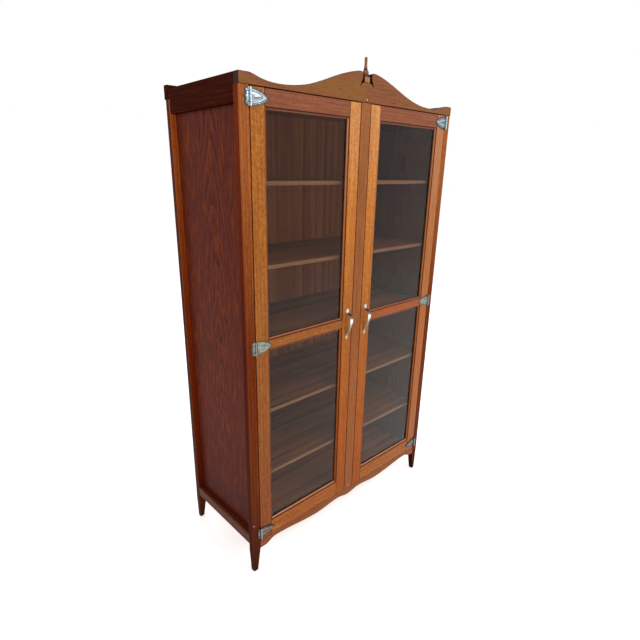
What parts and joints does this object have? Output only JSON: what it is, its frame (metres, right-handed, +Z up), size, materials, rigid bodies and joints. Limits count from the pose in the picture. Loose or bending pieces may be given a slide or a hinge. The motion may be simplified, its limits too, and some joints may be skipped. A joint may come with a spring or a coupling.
{
  "type": "glass display cabinet",
  "caption": "Free-standing wooden display cabinet with shelves behind two glazed hinged doors, a shaped crest board with a turned finial and tapered legs.",
  "frame": {"origin": "on the floor, under the middle of the whole cabinet's box", "axes": "+Z up, +X to the right seen from the front, +Y towards the back, so the doors face -Y"},
  "size_m": [1.03, 0.4554, 1.8056],
  "materials": {
    "amber_wood": "amber varnish, glossy",
    "red_wood": "red-brown varnish, glossy",
    "dark_wood": "dark brown varnish, glossy",
    "side_wood": "maroon-brown varnish, glossy",
    "inner_wood": "thin varnish, satin",
    "shelf_wood": "thin varnish, satin",
    "nickel": "bright nickel plate",
    "catch_plastic": "brown, matte",
    "strike_steel": "zinc plate",
    "glass": "clear, polished"
  },
  "bodies": {
    "cabinet": {"post_front_left": "amber_wood", "post_front_right": "amber_wood", "post_rear_left": "amber_wood", "post_rear_right": "amber_wood", "centre_stile": "amber_wood", "crest_board": "red_wood", "finial": "red_wood", "apron": "red_wood", "side_rail_bottom_left": "red_wood", "side_rail_bottom_right": "red_wood", "rear_top_rail": "red_wood", "rear_bottom_rail": "red_wood", "side_rail_top_left": "dark_wood", "side_rail_top_right": "dark_wood", "side_panel_left": "side_wood", "side_panel_right": "side_wood", "back_panel": "inner_wood", "top_board": "inner_wood", "bottom_board": "inner_wood", "shelf_1": "shelf_wood", "shelf_2": "shelf_wood", "shelf_3": "shelf_wood", "shelf_4": "shelf_wood", "shelf_5": "shelf_wood", "hinge_frame_leaf_top_left": "nickel", "hinge_frame_leaf_top_right": "nickel", "hinge_frame_leaf_middle_left": "nickel", "hinge_frame_leaf_middle_right": "nickel", "hinge_frame_leaf_bottom_left": "nickel", "hinge_frame_leaf_bottom_right": "nickel", "door_catch_left": "catch_plastic", "door_catch_right": "catch_plastic"},
    "left_door": {"left_door_hinge_stile": "amber_wood", "left_door_meeting_stile": "amber_wood", "left_door_middle_rail": "amber_wood", "left_door_bottom_rail": "amber_wood", "left_door_top_rail": "red_wood", "left_door_upper_glass_bead": "red_wood", "left_door_lower_glass_bead": "red_wood", "left_door_upper_glass": "glass", "left_door_lower_glass": "glass", "left_door_pull": "nickel", "left_door_hinge_leaf_top": "nickel", "left_door_hinge_leaf_middle": "nickel", "left_door_hinge_leaf_bottom": "nickel", "left_door_catch_strike": "strike_steel"},
    "right_door": {"right_door_hinge_stile": "amber_wood", "right_door_meeting_stile": "amber_wood", "right_door_middle_rail": "amber_wood", "right_door_bottom_rail": "amber_wood", "right_door_top_rail": "red_wood", "right_door_upper_glass_bead": "red_wood", "right_door_lower_glass_bead": "red_wood", "right_door_upper_glass": "glass", "right_door_lower_glass": "glass", "right_door_pull": "nickel", "right_door_hinge_leaf_top": "nickel", "right_door_hinge_leaf_middle": "nickel", "right_door_hinge_leaf_bottom": "nickel", "right_door_catch_strike": "strike_steel"}
  },
  "joints": [
    {"name": "left_door_hinge", "type": "hinge", "parent": "cabinet", "child": "left_door", "pos_m": [-0.48, -0.20415, 0.908], "axis": [0, 0, -1], "range_deg": [0, 175]},
    {"name": "right_door_hinge", "type": "hinge", "parent": "cabinet", "child": "right_door", "pos_m": [0.48, -0.20415, 0.908], "axis": [0, 0, 1], "range_deg": [0, 175]}
  ]
}
